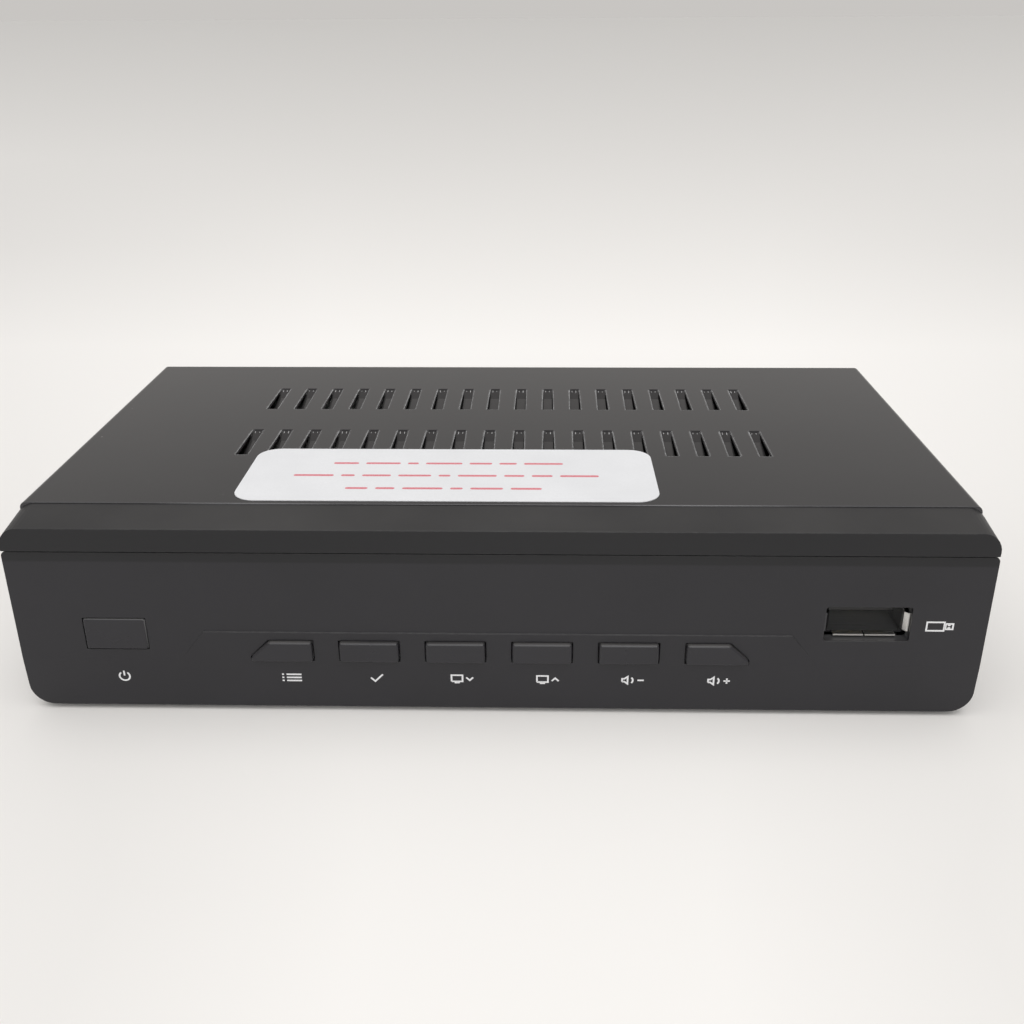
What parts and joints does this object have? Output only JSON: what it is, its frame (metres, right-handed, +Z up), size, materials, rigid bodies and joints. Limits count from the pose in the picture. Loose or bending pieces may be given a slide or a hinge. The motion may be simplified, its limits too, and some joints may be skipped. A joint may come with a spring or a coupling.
{
  "type": "digital television receiver",
  "caption": "Low black television receiver box with a moulded front, press keys and stick socket under a sloping visor, a vented steel cover, and aerial, video, audio and power sockets behind.",
  "frame": {"origin": "centre of the part's footprint, on the surface that its rubber feet stand on", "axes": "+X to the right seen from the front, +Y to the back, +Z up; the keys face -Y"},
  "size_m": [0.1644, 0.0964, 0.0373],
  "materials": {
    "panel_plastic": "fine moulded texture, satin black",
    "key_plastic": "smooth satin black",
    "cover_paint": "fine-grained black powder coat",
    "label_paper": "matt white with red strokes",
    "tray_steel": "zinc-plated sheet",
    "foot_rubber": "matt black",
    "switch_plastic": "moulded black",
    "board_laminate": "green solder resist",
    "plated_steel": "zinc-plated",
    "socket_steel": "nickel-plated sheet",
    "socket_plastic": "moulded black",
    "contact_brass": "bright",
    "sensor_resin": "dark cast resin",
    "lamp_resin": "red cast resin",
    "header_plastic": "moulded cream",
    "ribbon_sleeve": "grey ribbed sleeve",
    "insulator_plastic": "moulded off-white",
    "yellow_plastic": "moulded yellow",
    "white_plastic": "moulded white",
    "red_plastic": "moulded red",
    "chip_resin": "moulded black",
    "heatsink_aluminium": "extruded",
    "capacitor_sleeve": "shrink sleeve, dark blue",
    "coil_ferrite": "ground ferrite",
    "black_screw": "black oxide"
  },
  "bodies": {
    "case": {"front_panel": "panel_plastic", "visor": "panel_plastic", "top_cover": "cover_paint", "top_label": "label_paper", "chassis_tray": "tray_steel", "rubber_feet": "foot_rubber", "switch_bodies": "switch_plastic", "front_board": "board_laminate", "front_board_screws": "plated_steel", "front_socket_shell": "socket_steel", "front_socket_tongue": "socket_plastic", "front_socket_contacts": "contact_brass", "remote_sensor": "sensor_resin", "status_lamp": "lamp_resin", "ribbon_headers": "header_plastic", "ribbon_cable": "ribbon_sleeve", "main_board": "board_laminate", "board_standoffs": "contact_brass", "board_screws": "plated_steel", "tuner_can": "socket_steel", "aerial_in_barrel": "socket_steel", "aerial_in_insulator": "insulator_plastic", "aerial_in_contact": "contact_brass", "aerial_out_barrel": "socket_steel", "aerial_out_insulator": "insulator_plastic", "aerial_out_pin": "contact_brass", "video_socket_shell": "socket_steel", "video_socket_tongue": "socket_plastic", "av_block": "socket_plastic", "av_rings": "socket_steel", "av_insert_yellow": "yellow_plastic", "av_insert_white": "white_plastic", "av_insert_red": "red_plastic", "power_socket": "socket_plastic", "power_socket_pin": "plated_steel", "processor_chip": "chip_resin", "heatsink": "heatsink_aluminium", "memory_chips": "chip_resin", "capacitors": "capacitor_sleeve", "power_coil": "coil_ferrite", "crystal_can": "socket_steel", "cover_screws": "black_screw", "panel_screws": "plated_steel"},
    "standby_key": {"standby_button": "key_plastic", "standby_plunger": "switch_plastic"},
    "menu_key": {"menu_button": "key_plastic", "menu_plunger": "switch_plastic"},
    "ok_key": {"ok_button": "key_plastic", "ok_plunger": "switch_plastic"},
    "channel_down_key": {"channel_down_button": "key_plastic", "channel_down_plunger": "switch_plastic"},
    "channel_up_key": {"channel_up_button": "key_plastic", "channel_up_plunger": "switch_plastic"},
    "volume_down_key": {"volume_down_button": "key_plastic", "volume_down_plunger": "switch_plastic"},
    "volume_up_key": {"volume_up_button": "key_plastic", "volume_up_plunger": "switch_plastic"}
  },
  "joints": [
    {"name": "standby_press", "type": "slide", "parent": "case", "child": "standby_key", "axis": [0, 1, 0], "range_m": [0, 0.0004], "stiffness_N_per_m": 400},
    {"name": "menu_press", "type": "slide", "parent": "case", "child": "menu_key", "axis": [0, 1, 0], "range_m": [0, 0.0004], "stiffness_N_per_m": 400},
    {"name": "ok_press", "type": "slide", "parent": "case", "child": "ok_key", "axis": [0, 1, 0], "range_m": [0, 0.0004], "stiffness_N_per_m": 400},
    {"name": "channel_down_press", "type": "slide", "parent": "case", "child": "channel_down_key", "axis": [0, 1, 0], "range_m": [0, 0.0004], "stiffness_N_per_m": 400},
    {"name": "channel_up_press", "type": "slide", "parent": "case", "child": "channel_up_key", "axis": [0, 1, 0], "range_m": [0, 0.0004], "stiffness_N_per_m": 400},
    {"name": "volume_down_press", "type": "slide", "parent": "case", "child": "volume_down_key", "axis": [0, 1, 0], "range_m": [0, 0.0004], "stiffness_N_per_m": 400},
    {"name": "volume_up_press", "type": "slide", "parent": "case", "child": "volume_up_key", "axis": [0, 1, 0], "range_m": [0, 0.0004], "stiffness_N_per_m": 400}
  ]
}
